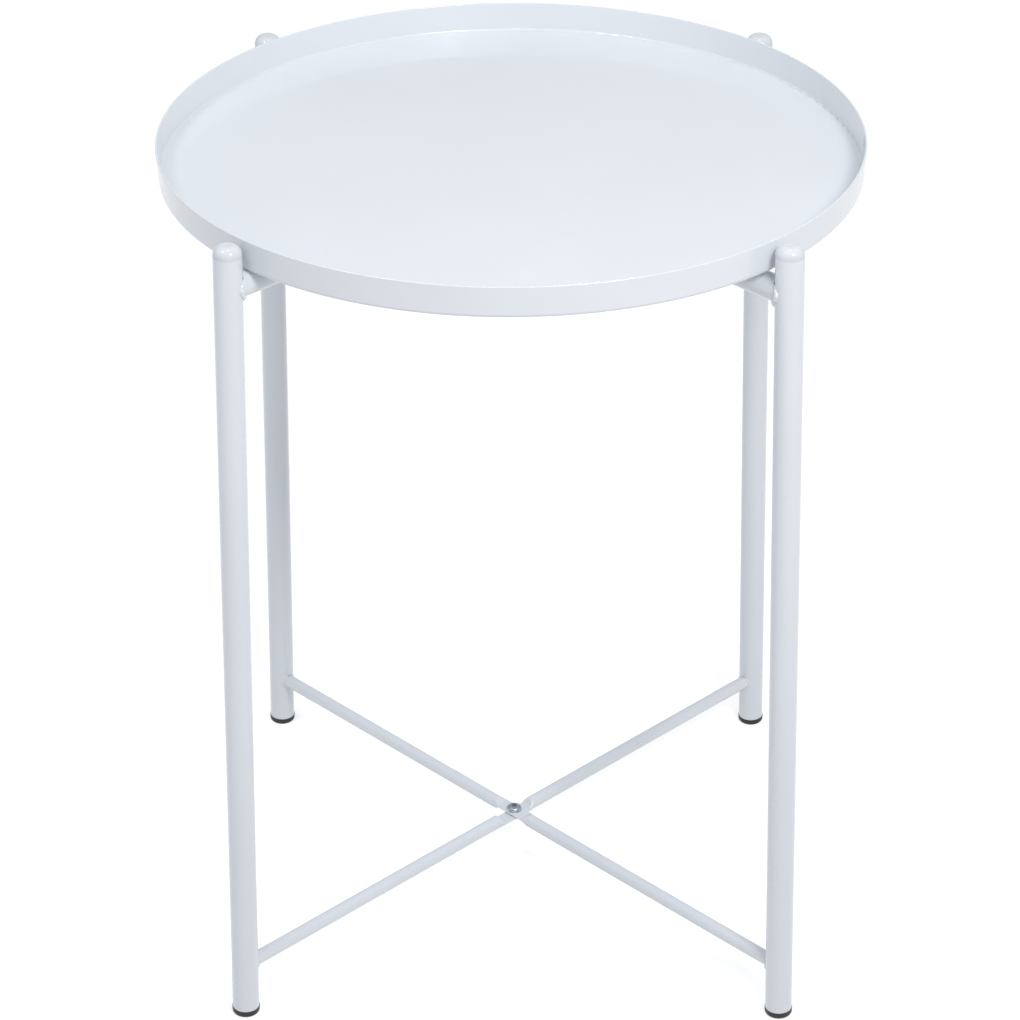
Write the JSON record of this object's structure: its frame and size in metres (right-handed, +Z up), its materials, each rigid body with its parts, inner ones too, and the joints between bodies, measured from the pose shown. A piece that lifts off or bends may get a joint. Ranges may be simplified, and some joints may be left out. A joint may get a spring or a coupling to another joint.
{
  "type": "folding side table",
  "caption": "Round shallow metal tray resting inside the leg tops of a crossed tube frame that pivots about a vertical axis; the tray lifts off.",
  "frame": {"origin": "on the floor under the vertical pivot axis of the two leg frames", "axes": "+Z up along the pivot axis, -Y towards the front, the legs stand midway between the X and Y axes"},
  "size_m": [0.414, 0.414, 0.5156],
  "materials": {
    "tray_paint": "white semi-gloss powder coat",
    "frame_paint": "white semi-gloss powder coat",
    "cap_plastic": "glossy white moulded cap",
    "foot_plastic": "black moulded foot",
    "zinc": "bright zinc plated",
    "nylon": "natural nylon"
  },
  "bodies": {
    "outer_frame": {"leg_front_left": "frame_paint", "leg_cap_front_left": "cap_plastic", "foot_front_left": "foot_plastic", "leg_back_right": "frame_paint", "leg_cap_back_right": "cap_plastic", "foot_back_right": "foot_plastic", "upper_bar_outer": "frame_paint", "lower_rod_outer": "frame_paint", "upper_welds_outer": "frame_paint", "lower_welds_outer": "frame_paint", "upper_pivot_screw": "zinc", "upper_pivot_spacer": "nylon", "upper_pivot_sleeve": "zinc", "lower_pivot_screw": "zinc", "lower_pivot_spacer": "nylon", "lower_pivot_sleeve": "zinc"},
    "inner_frame": {"leg_front_right": "frame_paint", "leg_cap_front_right": "cap_plastic", "foot_front_right": "foot_plastic", "leg_back_left": "frame_paint", "leg_cap_back_left": "cap_plastic", "foot_back_left": "foot_plastic", "upper_bar_inner": "frame_paint", "lower_rod_inner": "frame_paint", "upper_welds_inner": "frame_paint", "lower_welds_inner": "frame_paint"},
    "tray": {"tray": "tray_paint"}
  },
  "joints": [
    {"name": "frame_fold", "type": "hinge", "parent": "outer_frame", "child": "inner_frame", "pos_m": [0, 0, 0.26], "axis": [0, 0, 1], "range_deg": [-44, 44]},
    {"name": "tray_lift", "type": "slide", "parent": "outer_frame", "child": "tray", "axis": [0, 0, 1], "range_m": [0, 0.08]}
  ]
}
